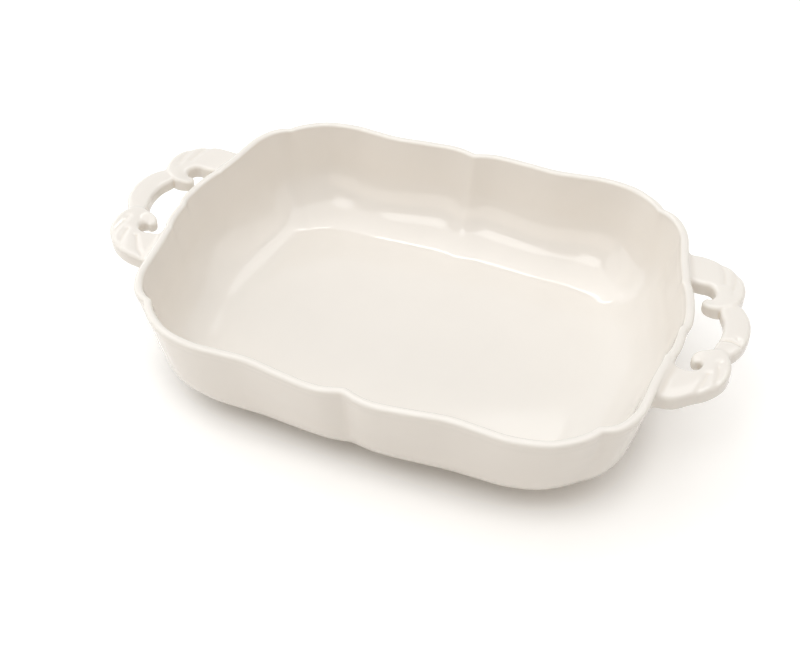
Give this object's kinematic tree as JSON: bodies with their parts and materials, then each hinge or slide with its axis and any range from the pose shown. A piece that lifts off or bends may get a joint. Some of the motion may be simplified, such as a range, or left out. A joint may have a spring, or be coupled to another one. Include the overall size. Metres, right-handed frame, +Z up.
{
  "type": "baking dish",
  "caption": "Oblong glazed stoneware baking dish with a softly lobed wall, a rolled lip, a bare foot ring and an openwork scroll handle on each short end.",
  "frame": {"origin": "on the table, under the middle of the dish", "axes": "+X along the dish towards the right handle, +Y to the far long side, +Z up"},
  "size_m": [0.4246, 0.2608, 0.0796],
  "materials": {
    "cream_glaze": "glossy cream glaze over pale stoneware",
    "bare_clay": "bare fired clay, wiped clean of glaze"
  },
  "bodies": {
    "root": {"basin": "cream_glaze", "foot_ring": "bare_clay", "handle_right": "cream_glaze", "handle_left": "cream_glaze", "slip_joint_right_back": "cream_glaze", "slip_joint_right_front": "cream_glaze", "slip_joint_left_back": "cream_glaze", "slip_joint_left_front": "cream_glaze"}
  },
  "joints": []
}
